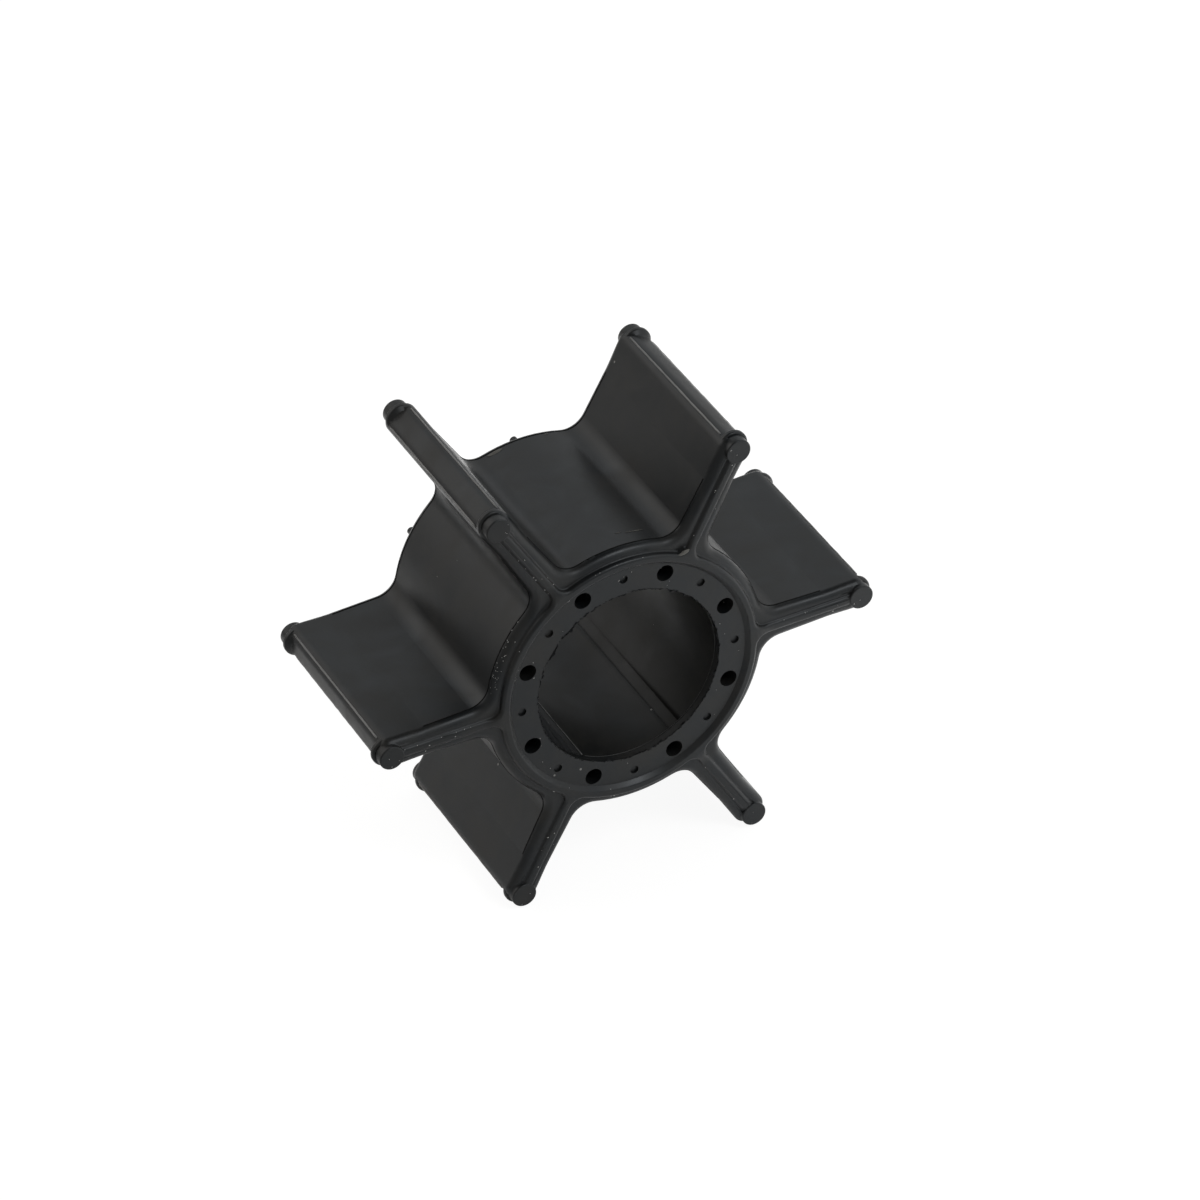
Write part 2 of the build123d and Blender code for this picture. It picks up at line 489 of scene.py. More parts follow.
def copy_of(piece: Object) -> Object:
    """Copies a piece with a mesh of its own.

    Args:
        piece: The piece, which stays as it is.

    Returns:
        The copy, selected and active.
    """
    bpy.ops.object.select_all(action="DESELECT")
    piece.select_set(True)
    bpy.context.view_layer.objects.active = piece
    bpy.ops.object.duplicate(linked=False)
    return bpy.context.object


def settle(piece: Object, name: str, material: Material) -> Object:
    """Names a finished piece, gives it its material and lets it ride on the part.

    Args:
        piece: Finished object in object mode.
        name: Name of the piece.
        material: Its material.

    Returns:
        The same object.
    """
    piece.name = name
    piece.data.name = name
    piece.data.materials.clear()
    piece.data.materials.append(material)
    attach(piece, "root")
    return piece


@dataclass
class LipSkin:
    """Rough skin of the lip's bore with a torn edge at its mouth, coloured darker than the wheel as painted
    shade inside the lip.

    Args:
        end: End of the wheel.
        bore_mm: Radius of the bore.
        mouth_mm: Place of the mouth along the axis, without its sign.
        mouth_band_mm: Width of the band at the mouth that is torn.
        depth_mm: Length of the lip.
        thickness_mm: Thickness of the skin.
        steps: Corners round the ring.
        cuts: Cuts along the axis.
        tears: Start angle, end angle and reach of each torn tongue.
        tear_trims: Share cut off both sides of a tongue in each step toward its point.
        rough_mm: Unevenness of the bore.
        torn_mm: Unevenness of the torn edge.
        key_angle: Middle angle of the keyway.
        key_half_mm: Half of the width of the gap at the keyway.
        seed: Seed of the roughness.
    """

    end: End
    bore_mm: float = 11.0
    mouth_mm: float = 12.64
    mouth_band_mm: float = 0.06
    depth_mm: float = 0.96
    thickness_mm: float = 0.05
    steps: int = 420
    cuts: int = 4
    tears: tuple[Triple, ...] = (
        (2.0, 9.0, 0.16),
        (14.0, 17.0, 0.24),
        (25.0, 41.0, 0.11),
        (47.0, 52.0, 0.2),
        (58.0, 61.0, 0.34),
        (66.0, 76.0, 0.12),
        (88.0, 94.0, 0.18),
        (109.0, 113.0, 0.3),
        (124.0, 131.0, 0.42),
        (139.0, 149.0, 0.3),
        (158.0, 161.0, 0.25),
        (187.0, 195.0, 0.1),
        (238.0, 243.0, 0.16),
        (252.0, 256.0, 0.26),
        (268.0, 279.0, 0.12),
        (286.0, 290.0, 0.2),
        (303.0, 306.0, 0.32),
        (314.0, 327.0, 0.14),
        (339.0, 343.0, 0.25),
        (350.0, 355.0, 0.12),
    )
    tear_trims: tuple[float, ...] = (0.0, 0.14, 0.28, 0.4)
    rough_mm: float = 0.02
    torn_mm: float = 0.12
    key_angle: float = KEY_ANGLE
    key_half_mm: float = 2.5
    seed: int = 3

    def build(self, material: Material) -> Object:
        """Models the skin from a tube.

        Args:
            material: Material of the skin.

        Returns:
            The finished piece.
        """
        side = self.end.value
        middle = side * (self.mouth_mm - self.depth_mm / 2) * MM
        bpy.ops.object.select_all(action="DESELECT")
        bpy.ops.mesh.primitive_cylinder_add(
            vertices=self.steps,
            radius=self.bore_mm * MM,
            depth=self.depth_mm * MM,
            end_fill_type="NOTHING",
            location=(0.0, middle, 0.0),
            rotation=(math.pi / 2, 0.0, 0.0),
        )
        skin = bpy.context.object
        bpy.ops.object.transform_apply(location=True, rotation=True, scale=True)
        self.close_wall(skin)
        self.tear_mouth(skin)
        if self.end is End.BACK:
            open_gap(skin, self.key_angle, self.key_half_mm)
        bpy.ops.object.mode_set(mode="OBJECT")
        return settle(skin, f"lip_skin_{self.end.name.lower()}", material)

    def close_wall(self, skin: Object) -> None:
        """Cuts the tube into bands, gives it its thickness and roughens the bore.

        Args:
            skin: The tube in object mode; it is left in edit mode.
        """
        bpy.ops.object.mode_set(mode="EDIT")
        select_long_edges(skin, self.depth_mm * MM * 0.5)
        bpy.ops.mesh.subdivide(number_cuts=self.cuts)
        bpy.ops.object.mode_set(mode="OBJECT")
        wall = skin.modifiers.new("wall", "SOLIDIFY")
        wall.thickness = self.thickness_mm * MM
        wall.offset = 1.0
        bpy.ops.object.modifier_apply(modifier="wall")
        bpy.ops.object.mode_set(mode="EDIT")
        bpy.ops.mesh.select_all(action="SELECT")
        bpy.ops.mesh.normals_make_consistent(inside=False)
        inner = (self.bore_mm - self.thickness_mm / 4) * MM
        select_vertices(skin, lambda place: math.hypot(place.x, place.z) < inner)
        bpy.ops.transform.vertex_random(offset=self.rough_mm * MM, uniform=1.0, normal=0.0, seed=self.seed)

    def tear_mouth(self, skin: Object) -> None:
        """Draws the torn tongues at the mouth toward the axis.

        Args:
            skin: The closed skin in edit mode.
        """
        side = self.end.value
        mouth = (self.mouth_mm - self.mouth_band_mm) * MM
        step_share = 1.0 / len(self.tear_trims)
        for start, stop, reach_mm in self.tears:
            for trim in self.tear_trims:
                low = start + (stop - start) * trim
                high = stop - (stop - start) * trim
                select_vertices(skin, lambda place: side * place.y > mouth and low <= angle_of(place) <= high)
                scale = 1.0 - step_share * reach_mm / self.bore_mm
                bpy.ops.transform.resize(value=(scale, 1.0, scale), center_override=(0.0, side * mouth, 0.0))
        select_vertices(skin, lambda place: side * place.y > mouth)
        bpy.ops.transform.vertex_random(offset=self.torn_mm * MM, uniform=1.0, normal=0.0, seed=self.seed + 4)


@dataclass
class BushEdge:
    """Thin raised edge at one end of the bush, open at the keyway, coloured lighter than the bush as a
    painted highlight along the edge.

    Args:
        end: End of the wheel.
        radius_mm: Radius of the edge.
        bead_mm: Radius of its section.
        place_mm: Place along the axis, without its sign.
        key_angle: Middle angle of the keyway.
        key_half_mm: Half of the width of the keyway.
        steps: Corners round the ring.
        section_steps: Corners round its section.
    """

    end: End
    radius_mm: float = 10.98
    bead_mm: float = 0.05
    place_mm: float = 11.62
    key_angle: float = KEY_ANGLE
    key_half_mm: float = 2.75
    steps: int = 240
    section_steps: int = 6

    def build(self, material: Material) -> Object:
        """Models the edge from a ring that is opened at the keyway.

        Args:
            material: Material of the edge.

        Returns:
            The finished piece.
        """
        bpy.ops.object.select_all(action="DESELECT")
        bpy.ops.mesh.primitive_torus_add(
            major_radius=self.radius_mm * MM,
            minor_radius=self.bead_mm * MM,
            major_segments=self.steps,
            minor_segments=self.section_steps,
            location=(0.0, self.end.value * self.place_mm * MM, 0.0),
            rotation=(math.pi / 2, 0.0, 0.0),
        )
        ring = bpy.context.object
        bpy.ops.object.transform_apply(location=True, rotation=True, scale=True)
        bpy.ops.object.mode_set(mode="EDIT")
        open_gap(ring, self.key_angle, self.key_half_mm)
        bpy.ops.object.mode_set(mode="OBJECT")
        bpy.ops.object.shade_smooth()
        return settle(ring, f"bush_edge_{self.end.name.lower()}", material)


@dataclass
class OutlineLine:
    """Thin raised moulding line that follows the outline of the wheel near one end; its near-black colour is
    painted shade of the crease there.

    Args:
        end: End of the wheel.
        place_mm: Place along the axis, without its sign.
        width_mm: Width of the line.
        height_mm: How far it stands out.
        inner_mm: Radius inside which nothing is kept.
        outer_mm: Radius outside which nothing is kept.
    """

    end: End
    place_mm: float = 11.56
    width_mm: float = 0.11
    height_mm: float = 0.04
    inner_mm: float = 15.8
    outer_mm: float = 27.0

    def build(self, wheel: Object, material: Material) -> Object:
        """Cuts a thin band out of a copy of the wheel and thickens it.

        Args:
            wheel: The wheel, which stays as it is.
            material: Material of the line.

        Returns:
            The finished piece.
        """
        line = copy_of(wheel)
        bpy.ops.object.modifier_apply(modifier="weld")
        line.modifiers.clear()
        bpy.ops.object.mode_set(mode="EDIT")
        self.cut(self.place_mm - self.width_mm / 2, inner_side=True)
        self.cut(self.place_mm + self.width_mm / 2, inner_side=False)
        select_vertices(line, self.is_outside)
        bpy.ops.mesh.delete(type="VERT")
        bpy.ops.object.mode_set(mode="OBJECT")
        wall = line.modifiers.new("wall", "SOLIDIFY")
        wall.thickness = self.height_mm * MM
        wall.offset = 1.0
        bpy.ops.object.modifier_apply(modifier="wall")
        return settle(line, f"outline_line_{self.end.name.lower()}", material)

    def is_outside(self, place: Vector) -> bool:
        """Whether a place lies nearer to the axis or farther from it than the line runs."""
        return not self.inner_mm * MM < math.hypot(place.x, place.z) < self.outer_mm * MM

    def cut(self, place_mm: float, inner_side: bool) -> None:
        """Cuts the mesh in edit mode across the axis and drops one side.

        Args:
            place_mm: Place of the cut, without its sign.
            inner_side: Whether the side toward the middle of the wheel is dropped.
        """
        bpy.ops.mesh.select_all(action="SELECT")
        bpy.ops.mesh.bisect(
            plane_co=(0.0, self.end.value * place_mm * MM, 0.0),
            plane_no=(0.0, float(self.end.value), 0.0),
            clear_inner=inner_side,
            clear_outer=not inner_side,
        )


def thin_line(place: Vector, half_length_mm: float, section_mm: float, seed: int) -> Object:
    """Models an uneven thin line along the axis of the wheel.

    Args:
        place: Middle of the line in metres.
        half_length_mm: Half of its length.
        section_mm: Radius of its section.
        seed: Seed of its unevenness.

    Returns:
        The line in object mode.
    """
    bpy.ops.object.select_all(action="DESELECT")
    bpy.ops.mesh.primitive_cylinder_add(
        vertices=8,
        radius=section_mm * MM,
        depth=2 * half_length_mm * MM,
        location=place,
        rotation=(math.pi / 2, 0.0, 0.0),
    )
    line = bpy.context.object
    bpy.ops.object.transform_apply(location=True, rotation=True, scale=True)
    bpy.ops.object.mode_set(mode="EDIT")
    bpy.ops.mesh.select_mode(type="EDGE")
    select_long_edges(line, half_length_mm * MM)
    bpy.ops.mesh.subdivide(number_cuts=30)
    bpy.ops.mesh.select_all(action="SELECT")
    bpy.ops.transform.vertex_random(offset=SLIGHT_UNEVENNESS, uniform=1.0, normal=0.0, seed=seed)
    bpy.ops.object.mode_set(mode="OBJECT")
    bpy.ops.object.shade_smooth()
    return line


def side_name(side: int) -> str:
    """Word for the side of a vane or keyway: low at the smaller angle, high at the larger."""
    return "low" if side < 0 else "high"


@dataclass
class TipLines:
    """Thin raised lines along the two corners of every tip bead, coloured light as painted highlights on
    those corners.

    Args:
        radius_mm: Distance of a line from the axis.
        half_mm: Distance of a line from the middle plane of the vane.
        half_length_mm: Half of the length of a line.
        section_mm: Radius of the section of a line.
    """

    radius_mm: float = 29.14
    half_mm: float = 1.5
    half_length_mm: float = 10.6
    section_mm: float = 0.11

    def build(self, material: Material) -> list[Object]:
        """Sets a line on both corners of every tip.

        Args:
            material: Material of the lines.

        Returns:
            The finished pieces.
        """
        pieces = []
        for angle in range(0, 360, 60):
            for side in (-1, 1):
                place = polar(self.radius_mm, angle, 0.0) + polar(side * self.half_mm, angle + 90, 0.0)
                line = thin_line(place, self.half_length_mm, self.section_mm, angle + side)
                name = f"tip_line_{angle:03d}_{side_name(side)}"
                pieces.append(settle(line, name, material))
        return pieces


@dataclass
class KeywayTrim:
    """Rough skin on one wall of the keyway, coloured lighter than the bush as painted light on that wall, and
    light lines along its two mouth corners, which are painted highlights.

    Args:
        angle: Middle angle of the keyway.
        wall_across_mm: Distance of the wall from the middle of the keyway.
        wall_out_mm: Middle of the wall, measured along the middle of the keyway.
        wall_depth_mm: Depth of the wall.
        wall_thickness_mm: Thickness of the skin.
        wall_seed: Seed of the skin's unevenness.
        half_length_mm: Half of the length of the skin and the lines.
        corner_out_mm: Distance of the corner lines, measured along the middle of the keyway.
        corner_across_mm: Distance of the corner lines from the middle of the keyway.
        corner_section_mm: Radius of the section of a corner line.
        corner_seed: Middle of the seeds of the lines' unevenness.
    """

    angle: float = KEY_ANGLE
    wall_across_mm: float = 2.365
    wall_out_mm: float = 12.0
    wall_depth_mm: float = 1.7
    wall_thickness_mm: float = 0.06
    wall_seed: int = 21
    half_length_mm: float = 11.4
    corner_out_mm: float = 10.66
    corner_across_mm: float = 2.72
    corner_section_mm: float = 0.05
    corner_seed: int = 40

    def build(self, skin: Material, line: Material) -> list[Object]:
        """Models the wall skin and the corner lines.

        Args:
            skin: Material of the wall skin, which carries the painted light.
            line: Material of the lines, which carries the painted highlights.

        Returns:
            The finished pieces.
        """
        pieces = [settle(self.wall_skin(), "keyway_skin", skin)]
        for side in (-1, 1):
            place = polar(self.corner_out_mm, self.angle, 0.0)
            place += polar(side * self.corner_across_mm, self.angle + 90, 0.0)
            corner = thin_line(place, self.half_length_mm, self.corner_section_mm, self.corner_seed + side)
            pieces.append(settle(corner, f"keyway_line_{side_name(side)}", line))
        return pieces

    def wall_skin(self) -> Object:
        """Models the skin from a plate that is cut into strips and roughened.

        Returns:
            The skin in object mode.
        """
        middle = polar(self.wall_out_mm, self.angle, 0.0)
        middle += polar(self.wall_across_mm, self.angle + 90, 0.0)
        bpy.ops.object.select_all(action="DESELECT")
        bpy.ops.mesh.primitive_cube_add(
            size=MM,
            location=middle,
            rotation=(0.0, -math.radians(self.angle), 0.0),
            scale=(self.wall_depth_mm, 2 * self.half_length_mm, self.wall_thickness_mm),
        )
        plate = bpy.context.object
        bpy.ops.object.transform_apply(location=True, rotation=True, scale=True)
        bpy.ops.object.mode_set(mode="EDIT")
        bpy.ops.mesh.select_all(action="SELECT")
        bpy.ops.mesh.subdivide(number_cuts=12)
        bpy.ops.transform.vertex_random(
            offset=SLIGHT_UNEVENNESS,
            uniform=1.0,
            normal=0.0,
            seed=self.wall_seed,
        )
        bpy.ops.object.mode_set(mode="OBJECT")
        return plate


@dataclass
class Flake:
    """Pale flake of flash or a raised scuff on the rubber.

    Args:
        name: Name of the piece.
        radius_mm: Distance from the axis.
        angle: Place round the wheel.
        place_mm: Place along the axis.
        turn: How far the flake is turned from the tangent, in degrees.
        size_mm: Length, size toward the axis and size along the axis.
        narrowing: Thickness of the narrow end as a share of the other.
        rough_mm: Unevenness of the surface.
        seed: Seed of the unevenness.
    """

    name: str
    radius_mm: float
    angle: float
    place_mm: float
    turn: float
    size_mm: Triple
    narrowing: float = 0.75
    rough_mm: float = 0.015
    seed: int = 5

    def build(self, material: Material) -> Object:
        """Models the flake from a ball that is flattened, narrowed and made uneven.

        Args:
            material: Material of the flake.

        Returns:
            The finished piece.
        """
        bpy.ops.object.select_all(action="DESELECT")
        bpy.ops.mesh.primitive_uv_sphere_add(segments=24, ring_count=12, radius=0.5 * MM)
        flake = bpy.context.object
        bpy.ops.object.mode_set(mode="EDIT")
        bpy.ops.mesh.select_all(action="SELECT")
        length, deep, along = self.size_mm
        bpy.ops.transform.resize(value=(length, along, deep), center_override=(0.0, 0.0, 0.0))
        select_vertices(flake, lambda place: place.x > 0.0)
        bpy.ops.transform.resize(value=(1.0, 1.0, self.narrowing), center_override=(0.0, 0.0, 0.0))
        bpy.ops.mesh.select_all(action="SELECT")
        bpy.ops.transform.vertex_random(offset=self.rough_mm * MM, uniform=1.0, normal=0.0, seed=self.seed)
        bpy.ops.object.mode_set(mode="OBJECT")
        flake.location = polar(self.radius_mm, self.angle, self.place_mm)
        flake.rotation_euler = (0.0, -math.radians(self.angle + 90 + self.turn), 0.0)
        bpy.ops.object.transform_apply(location=True, rotation=True, scale=True)
        bpy.ops.object.shade_smooth()
        return settle(flake, self.name, material)


FLAKES = (
    Flake("pip_flake", 15.7, 63.2, -12.98, 39.0, (1.65, 0.6, 0.3)),
    Flake("web_scuff", 16.72, 80.0, -9.7, 0.0, (2.1, 0.08, 0.12)),
    Flake("web_scuff_small", 16.72, 86.0, -9.4, 0.0, (0.7, 0.08, 0.1)),
    Flake("back_flake_long", 16.7, 102.3, 11.2, 0.0, (1.9, 0.16, 0.5)),
    Flake("back_flake_short", 16.7, 80.5, 11.3, 0.0, (0.5, 0.14, 0.25)),
    Flake("back_flake_left", 16.7, 124.0, 9.8, 0.0, (0.8, 0.14, 0.6)),
)


@dataclass
class Crumbs:
    """Small crumbs of moulding flash left on ribs, rim, ring face, nubs and hub.

    Args:
        per_rib: How many lie on each rib, by the rib's angle.
        rim_count: How many lie on the rim.
        ring_count: How many lie on the ring face.
        nub_count: How many lie on the faces of the nubs.
        edge_count: How many lie on the rounded front edge of the hub at the left.
        rib_span_mm: Nearest and farthest distance from the axis on a rib.
        rib_rows_mm: Distances of the rows on a rib from its middle.
        rib_face_mm: Place of the ribs' crumbs along the axis.
        rim_radii_mm: Radii of the two slopes of the rim.
        rim_span: First and last angle on the rim.
        rim_face_mm: Place of the rim's crumbs along the axis.
        ring_span_mm: Nearest and farthest distance from the axis on the ring face.
        ring_face_mm: Place of the ring's crumbs along the axis.
        nub_radius_mm: Distance of the nubs from the axis.
        nub_angles: Angles of the nubs, the ones with more crumbs named twice.
        nub_span_mm: Nearest and farthest distance from the middle of a nub.
        nub_face_mm: Place of the nubs' crumbs along the axis.
        edge_lean: Least and greatest lean on the rounded edge, from its outermost line.
        edge_span: First, last and likeliest angle on the rounded edge.
        edge_middle_mm: Radius and place along the axis of the middle of the rounding.
        edge_round_mm: Radius of the rounding.
        least_mm: Smallest radius of a crumb.
        most_mm: Largest radius of a crumb.
        stretch: Least and greatest length of a crumb, as a share of its radius.
        flatness: Height of a crumb, as a share of its radius.
        seed: Seed of the places and shapes.
    """

    per_rib: dict[int, int] = field(default_factory=lambda: {0: 6, 60: 5, 120: 11, 180: 9, 240: 6, 300: 3})
    rim_count: int = 24
    ring_count: int = 20
    nub_count: int = 14
    edge_count: int = 34
    rib_span_mm: Pair = (17.0, 27.0)
    rib_rows_mm: tuple[float, ...] = (-0.55, 0.0, 0.55)
    rib_face_mm: float = -12.87
    rim_radii_mm: tuple[float, ...] = (14.5, 15.42)
    rim_span: Pair = (80.0, 260.0)
    rim_face_mm: float = -13.03
    ring_span_mm: Pair = (11.3, 13.7)
    ring_face_mm: float = -12.66
    nub_radius_mm: float = 28.5
    nub_angles: tuple[int, ...] = (0, 60, 120, 120, 180, 180, 240, 300)
    nub_span_mm: Pair = (0.3, 1.2)
    nub_face_mm: float = -12.96
    edge_lean: Pair = (5.0, 70.0)
    edge_span: Triple = (132.0, 176.0, 162.0)
    edge_middle_mm: Pair = (15.75, -11.55)
    edge_round_mm: float = 0.95
    least_mm: float = 0.02
    most_mm: float = 0.05
    stretch: Pair = (0.8, 2.2)
    flatness: float = 0.7
    seed: int = 11

    def model(self) -> Object:
        """Models one crumb at the origin, one millimetre in radius.

        Returns:
            The crumb in object mode.
        """
        bpy.ops.object.select_all(action="DESELECT")
        bpy.ops.mesh.primitive_ico_sphere_add(subdivisions=2, radius=MM, location=(0.0, 0.0, 0.0))
        crumb = bpy.context.object
        bpy.ops.object.mode_set(mode="EDIT")
        bpy.ops.mesh.select_all(action="SELECT")
        bpy.ops.transform.vertex_random(offset=0.35 * MM, uniform=1.0, normal=0.0, seed=self.seed)
        bpy.ops.object.mode_set(mode="OBJECT")
        return crumb

    def places(self, rng: random.Random) -> list[Vector]:
        """Chooses the places of the crumbs.

        Args:
            rng: Seeded source of the choices.

        Returns:
            Places in metres.
        """
        spots = []
        for angle, count in self.per_rib.items():
            for _ in range(count):
                spot = polar(rng.uniform(*self.rib_span_mm), angle, self.rib_face_mm)
                across = polar(1.0, angle + 90, 0.0) * rng.choice(self.rib_rows_mm)
                spots.append(spot + across)
        for _ in range(self.rim_count):
            radius_mm = rng.choice(self.rim_radii_mm)
            spots.append(polar(radius_mm, rng.uniform(*self.rim_span), self.rim_face_mm))
        for _ in range(self.ring_count):
            radius_mm = rng.uniform(*self.ring_span_mm)
            spots.append(polar(radius_mm, rng.uniform(0.0, 360.0), self.ring_face_mm))
        for _ in range(self.nub_count):
            nub = polar(self.nub_radius_mm, rng.choice(self.nub_angles), self.nub_face_mm)
            spots.append(nub + polar(rng.uniform(*self.nub_span_mm), rng.uniform(0.0, 360.0), 0.0))
        for _ in range(self.edge_count):
            spots.append(self.edge_place(rng))
        return spots

    def edge_place(self, rng: random.Random) -> Vector:
        """Chooses a place on the rounded front edge of the hub.

        Args:
            rng: Seeded source of the choices.

        Returns:
            The place in metres.
        """
        lean = math.radians(rng.uniform(*self.edge_lean))
        angle = rng.triangular(*self.edge_span)
        middle_radius, middle_place = self.edge_middle_mm
        radius_mm = middle_radius + self.edge_round_mm * math.cos(lean)
        return polar(radius_mm, angle, middle_place - self.edge_round_mm * math.sin(lean))

    def build(self, material: Material) -> list[Object]:
        """Copies the crumb to every place, each copy turned, flattened and sized on its own.

        Args:
            material: Material of the crumbs.

        Returns:
            The finished pieces.
        """
        rng = random.Random(self.seed)
        model = self.model()
        pieces = []
        for number, spot in enumerate(self.places(rng)):
            size = rng.uniform(self.least_mm, self.most_mm)
            crumb = copy_of(model)
            crumb.rotation_euler = (0.0, rng.uniform(0.0, math.tau), 0.0)
            crumb.scale = (size * rng.uniform(*self.stretch), size * self.flatness, size)
            crumb.location = spot
            bpy.ops.object.transform_apply(location=True, rotation=True, scale=True)
            pieces.append(settle(crumb, f"flash_crumb_{number:02d}", material))
        bpy.data.objects.remove(model)
        return pieces


@dataclass
class Studio:
    """White studio round the wheel: floor, world, lamp and camera.

    Args:
        floor_size: Side of the floor.
        floor_glow: Own light of the floor where the camera sees it.
        floor_dark_way: Way along which the table's brightness falls.
        floor_fall_span: Where the fall starts and ends.
        floor_fall_levels: Brightness at the start and at the end of the fall.
        floor_far_span: Distances from the middle between which the table darkens.
        floor_far_share: Share of the brightness left beyond them.
        floor_own_share: Share of the table's brightness that doesn't depend on shadows.
        world_level: Brightness round the wheel.
        world_top: Brightness straight overhead.
        top_span: Heights between which it goes over to the overhead one.
        dark_side: Way to the darker side.
        side_span: Reaches toward the darker side between which the world darkens.
        side_share: Share of the brightness left there.
        bright_side: Way to the brighter side.
        bright_span: Reaches toward the brighter side between which the world brightens.
        bright_gain: Gain of the brightness there.
        low_behind: Way down and behind.
        low_span: Reaches down and behind between which the world darkens.
        low_share: Share of the brightness left there.
        right_tint: Colour of the light from the right.
        left_tint: Colour of the light from the left.
        tint_span: Reaches to the right at which the first tint and the second one are full.
        lamp_azimuth: Angle of the lamp to the right of the front.
        lamp_elevation: Angle of the lamp over the horizon.
        lamp_distance: Distance of the lamp.
        lamp_size: Side of the lamp.
        lamp_watts: Power of the lamp.
        focal_mm: Focal length of the camera.
        sensor_mm: Width of its sensor.
        clip_start: Nearest distance that it sees.
        camera_place: Place of the camera.
        camera_right: Way to the right in its picture.
        camera_up: Way up in its picture.
    """

    floor_size: float = 1.2
    floor_glow: float = 0.92
    floor_dark_way: Triple = (-0.85, -0.5, 0.0)
    floor_fall_span: Pair = (-0.07, 0.075)
    floor_fall_levels: Pair = (2.1, 0.62)
    floor_far_span: Pair = (0.08, 0.26)
    floor_far_share: float = 0.5
    floor_own_share: float = 0.14
    world_level: float = 0.98
    world_top: float = 0.04
    top_span: Pair = (0.64, 0.92)
    dark_side: Triple = (-0.75, -0.66, 0.0)
    side_span: Pair = (0.2, 0.62)
    side_share: float = 0.35
    bright_side: Triple = (-0.42, 0.64, 0.64)
    bright_span: Pair = (0.72, 0.97)
    bright_gain: float = 1.68
    low_behind: Triple = (0.0, 0.91, -0.41)
    low_span: Pair = (0.45, 0.66)
    low_share: float = 0.38
    right_tint: Colour = (0.99, 1.0, 1.0, 1.0)
    left_tint: Colour = (1.04, 0.995, 0.945, 1.0)
    tint_span: Pair = (0.1, -0.35)
    lamp_azimuth: float = 29.0
    lamp_elevation: float = 47.0
    lamp_distance: float = 0.9
    lamp_size: float = 0.26
    lamp_watts: float = 1.5
    focal_mm: float = 191.684
    sensor_mm: float = 36.0
    clip_start: float = 0.05
    camera_place: Triple = (-0.232458, -0.512562, 0.417983)
    camera_right: Triple = (0.8924613, -0.4485928, -0.0477202)
    camera_up: Triple = (0.3015506, 0.5145366, 0.8026950)

    def place_camera(self) -> None:
        """Puts the camera where the photograph was taken from."""
        right = Vector(self.camera_right)
        up = Vector(self.camera_up)
        back = right.cross(up)
        data = bpy.data.cameras.new("photo_camera")
        data.lens = self.focal_mm
        data.sensor_width = self.sensor_mm
        data.clip_start = self.clip_start
        camera = bpy.data.objects.new("photo_camera", data)
        camera.matrix_world = Matrix(
            (
                (right.x, up.x, back.x, self.camera_place[0]),
                (right.y, up.y, back.y, self.camera_place[1]),
                (right.z, up.z, back.z, self.camera_place[2]),
                (0.0, 0.0, 0.0, 1.0),
            )
        )
        bpy.context.scene.collection.objects.link(camera)
        bpy.context.scene.camera = camera

    def floor_material(self) -> Material:
        """Builds the floor: white to the camera, with a soft shadow, and a white table under the wheel.

        Returns:
            The finished material.
        """
        material, sheet, shader = new_material("floor_white")
        shader.inputs["Base Color"].default_value = (0.8, 0.8, 0.8, 1.0)
        shader.inputs["Roughness"].default_value = 0.9
        shader.inputs["Specular IOR Level"].default_value = 0.0
        rays = sheet.add("ShaderNodeLightPath").outputs
        table = self.mirrored_floor(sheet)
        mirrored = sheet.mix_shaders(rays["Is Glossy Ray"], shader.outputs["BSDF"], table)
        surface = sheet.mix_shaders(rays["Is Camera Ray"], mirrored, self.seen_floor(sheet))
        sheet.link(surface, sheet.tree.nodes["Material Output"].inputs["Surface"])
        return material

    def seen_floor(self, sheet: NodeSheet) -> NodeSocket:
        """Builds the floor that the camera sees, white with a soft shadow.

        Args:
            sheet: Nodes of the floor.

        Returns:
            The output with the shader.
        """
        soft = sheet.add("ShaderNodeBsdfDiffuse", inputs={"Color": (0.2, 0.2, 0.2, 1.0)})
        glow = sheet.add("ShaderNodeEmission", inputs={"Color": WHITE, "Strength": self.floor_glow})
        return sheet.add_shaders(soft.outputs["BSDF"], glow.outputs["Emission"])

    def mirrored_floor(self, sheet: NodeSheet) -> NodeSocket:
        """Builds the table that the rubber mirrors, bright at one side and darker far away.

        Args:
            sheet: Nodes of the floor.

        Returns:
            The output with the shader.
        """
        place = sheet.add("ShaderNodeTexCoord").outputs["Object"]
        side = sheet.reach(place, self.floor_dark_way)
        fall = sheet.map_range(side, self.floor_fall_span, self.floor_fall_levels)
        distance = sheet.add("ShaderNodeVectorMath", operation="LENGTH", inputs={0: place})
        far = sheet.map_range(distance.outputs["Value"], self.floor_far_span, (1.0, self.floor_far_share))
        shine = sheet.product(fall, far)
        strength = sheet.product(shine, self.floor_own_share)
        own = sheet.add("ShaderNodeEmission", inputs={"Color": WHITE, "Strength": strength})
        pale = sheet.add("ShaderNodeBsdfDiffuse", inputs={"Color": shine})
        return sheet.add_shaders(own.outputs["Emission"], pale.outputs["BSDF"])

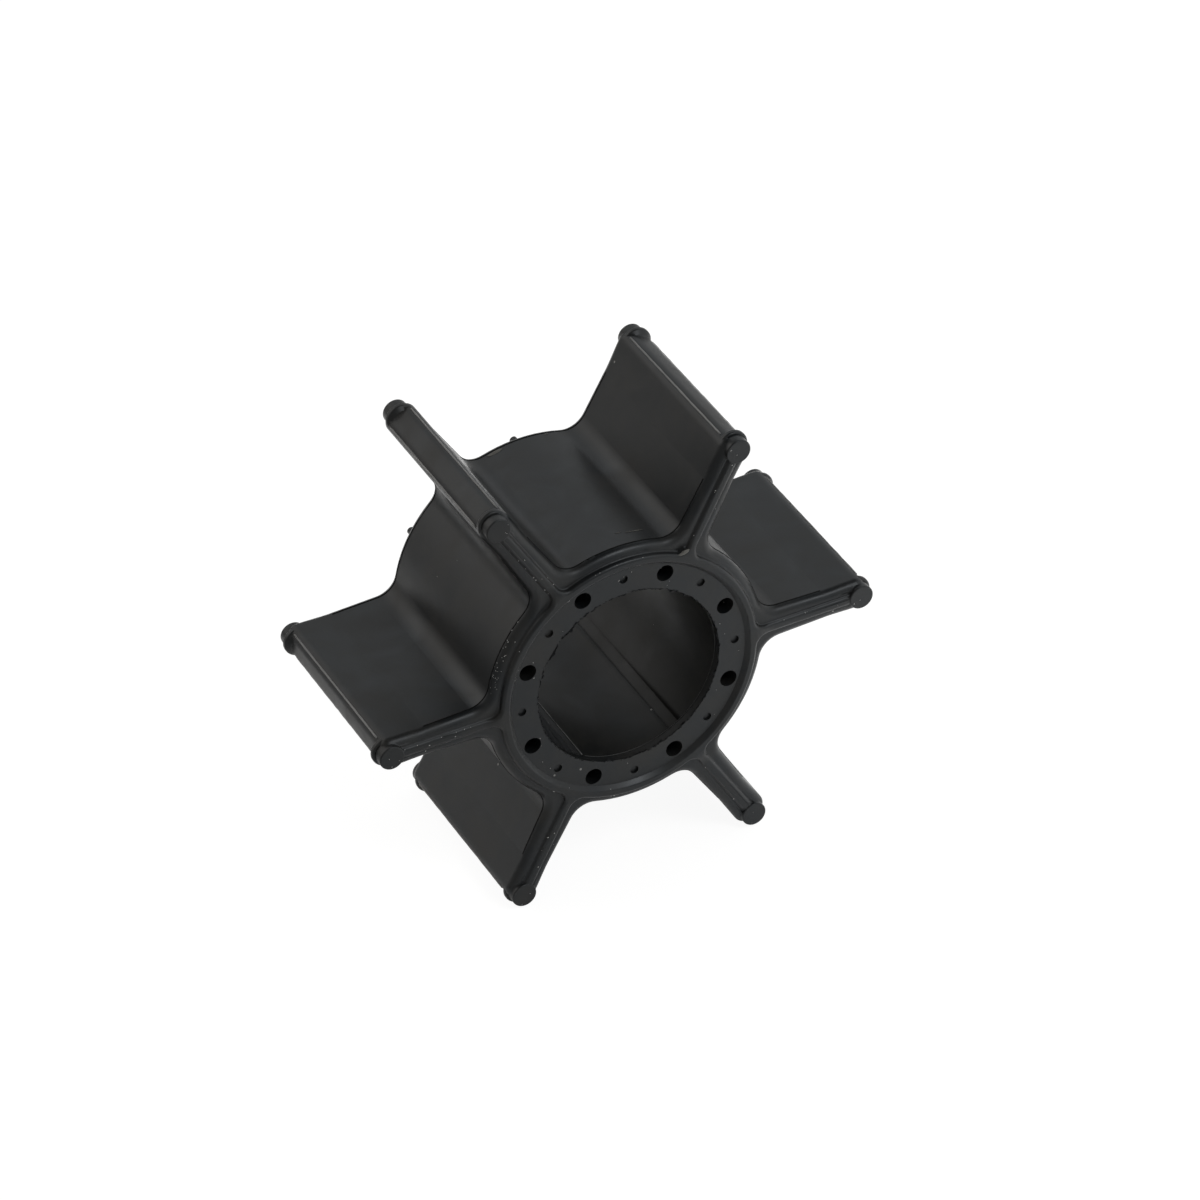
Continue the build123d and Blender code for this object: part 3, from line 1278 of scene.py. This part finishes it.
    def lay_floor(self, height: float) -> None:
        """Lays the white floor under the wheel.

        Args:
            height: Height of the lowest point of the wheel.
        """
        bpy.ops.object.select_all(action="DESELECT")
        bpy.ops.mesh.primitive_plane_add(size=self.floor_size, location=(0.0, 0.0, height))
        floor = bpy.context.object
        floor.name = "studio_floor"
        floor.data.materials.append(self.floor_material())
        floor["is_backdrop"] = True

    def light_world(self) -> None:
        """Makes the world white to the camera, pale round the wheel, dark overhead and to the front left."""
        world = bpy.data.worlds.new("studio_world")
        world.use_nodes = True
        bpy.context.scene.world = world
        sheet = NodeSheet(world.node_tree)
        sheet.tree.nodes.clear()
        direction = sheet.add("ShaderNodeTexCoord").outputs["Generated"]
        axes = sheet.add("ShaderNodeSeparateXYZ", inputs={"Vector": direction}).outputs
        tint = sheet.mix_colours(sheet.map_range(axes["X"], self.tint_span), self.right_tint, self.left_tint)
        strength = self.world_strength(sheet, direction, axes["Z"])
        lit = sheet.add("ShaderNodeBackground", inputs={"Color": tint, "Strength": strength})
        seen = sheet.add("ShaderNodeBackground", inputs={"Color": WHITE, "Strength": 1.0})
        camera_ray = sheet.add("ShaderNodeLightPath").outputs["Is Camera Ray"]
        surface = sheet.mix_shaders(camera_ray, lit.outputs["Background"], seen.outputs["Background"])
        sheet.add("ShaderNodeOutputWorld", inputs={"Surface": surface})

    def world_strength(self, sheet: NodeSheet, direction: NodeSocket, height: NodeSocket) -> NodeSocket:
        """Sets how bright the world is in each direction.

        Args:
            sheet: Nodes of the world.
            direction: Output with the direction.
            height: Output with the direction's reach upward.

        Returns:
            The output with the strength.
        """
        strength = sheet.map_range(height, self.top_span, (self.world_level, self.world_top))
        for way, span, share in (
            (self.dark_side, self.side_span, self.side_share),
            (self.bright_side, self.bright_span, self.bright_gain),
            (self.low_behind, self.low_span, self.low_share),
        ):
            change = sheet.map_range(sheet.reach(direction, way), span, (1.0, share))
            strength = sheet.product(strength, change)
        return strength

    def hang_lamp(self) -> None:
        """Hangs a square soft lamp that looks at the wheel from the front right."""
        turn, lift = math.radians(self.lamp_azimuth), math.radians(self.lamp_elevation)
        way = Vector((math.sin(turn) * math.cos(lift), -math.cos(turn) * math.cos(lift), math.sin(lift)))
        data = bpy.data.lights.new("front_soft_lamp", "AREA")
        data.energy = self.lamp_watts
        data.size = self.lamp_size
        lamp = bpy.data.objects.new("front_soft_lamp", data)
        lamp.location = way * self.lamp_distance
        lamp.rotation_euler = way.to_track_quat("Z", "Y").to_euler()
        bpy.context.scene.collection.objects.link(lamp)

    def build(self, lowest: float) -> None:
        """Sets up the whole studio.

        Args:
            lowest: Height of the lowest point of the wheel.
        """
        self.place_camera()
        self.lay_floor(lowest)
        self.light_world()
        self.hang_lamp()
        bpy.context.scene.view_settings.view_transform = "Standard"


def report(*pieces: Object) -> None:
    """Logs the name and the face count of each piece."""
    for piece in pieces:
        LOG.info("%s: %d faces", piece.name, len(piece.data.polygons))


def main() -> None:
    """Builds everything in order and reports each piece."""
    logging.basicConfig(level=logging.INFO, format="%(message)s")
    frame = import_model()
    cad_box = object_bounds()
    wheel = DressedNode("rubber_impeller", RUBBER).dress(frame)
    bush = DressedNode("hub_bush", BUSH_PLASTIC).dress(frame)
    report(wheel, bush)
    # Painted shade for the lip skins.
    torn_painted_shade = TORN_PAINTED_SHADE.build()
    # Painted highlight for the bush edges.
    edge_painted_highlight = EDGE_PAINTED_HIGHLIGHT.build()
    crumb_rubber = CRUMB_RUBBER.build()
    # Painted shade for the crease lines.
    crease_painted_shade = CREASE_PAINTED_SHADE.build()
    # Painted highlights for the corner lines.
    painted_highlight_rubber = PAINTED_HIGHLIGHT_RUBBER.build()
    # Painted light for the keyway wall.
    keyway_painted_light = KEYWAY_PAINTED_LIGHT.build()
    flake_rubber = FLAKE_RUBBER.build()
    for end in End:
        report(LipSkin(end).build(torn_painted_shade), BushEdge(end).build(edge_painted_highlight))
        report(OutlineLine(end).build(wheel, crease_painted_shade))
    report(*TipLines().build(painted_highlight_rubber))
    for flake in FLAKES:
        report(flake.build(flake_rubber))
    report(*KeywayTrim().build(keyway_painted_light, painted_highlight_rubber))
    report(*Crumbs().build(crumb_rubber))
    Studio().build(cad_box[0][2])


if __name__ == "__main__":
    main()
